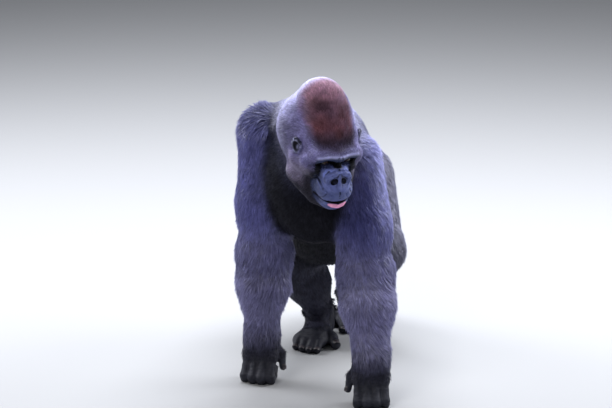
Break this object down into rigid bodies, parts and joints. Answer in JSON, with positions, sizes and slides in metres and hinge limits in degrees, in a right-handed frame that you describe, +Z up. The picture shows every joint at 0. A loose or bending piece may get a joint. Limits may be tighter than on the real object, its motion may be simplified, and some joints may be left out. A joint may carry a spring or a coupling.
{
  "type": "gorilla",
  "caption": "Life-size young male gorilla standing on knuckles and soles, left arm forward, head turned to its left and bent down, as a still display model.",
  "frame": {"origin": "on the floor under the middle of the animal's box", "axes": "+Z up, the animal faces -Y, +X is its left side"},
  "size_m": [0.482, 1.0486, 0.9657],
  "materials": {
    "coat": "short dense black fur with a cold blue sheen",
    "pale_coat": "black fur with a pale lavender sheen on the nape and shoulders",
    "crown_coat": "short fur, red-brown on the crown and grey on the cheeks",
    "bare_skin": "bare dark slate skin with a soft gloss",
    "eye": "wet dark brown eye"
  },
  "bodies": {
    "root": {"head": "crown_coat", "neck": "pale_coat", "chest": "coat", "belly": "coat", "pelvis": "coat", "ear_left": "bare_skin", "eye_left": "eye", "upper_arm_left": "coat", "forearm_left": "coat", "thigh_left": "coat", "shank_left": "coat", "hand_left": "bare_skin", "thumb_left": "bare_skin", "index_finger_left": "bare_skin", "middle_finger_left": "bare_skin", "ring_finger_left": "bare_skin", "little_finger_left": "bare_skin", "foot_left": "bare_skin", "big_toe_left": "bare_skin", "second_toe_left": "bare_skin", "third_toe_left": "bare_skin", "fourth_toe_left": "bare_skin", "fifth_toe_left": "bare_skin", "ear_right": "bare_skin", "eye_right": "eye", "upper_arm_right": "coat", "forearm_right": "coat", "thigh_right": "coat", "shank_right": "coat", "hand_right": "bare_skin", "thumb_right": "bare_skin", "index_finger_right": "bare_skin", "middle_finger_right": "bare_skin", "ring_finger_right": "bare_skin", "little_finger_right": "bare_skin", "foot_right": "bare_skin", "big_toe_right": "bare_skin", "second_toe_right": "bare_skin", "third_toe_right": "bare_skin", "fourth_toe_right": "bare_skin", "fifth_toe_right": "bare_skin"}
  },
  "joints": []
}
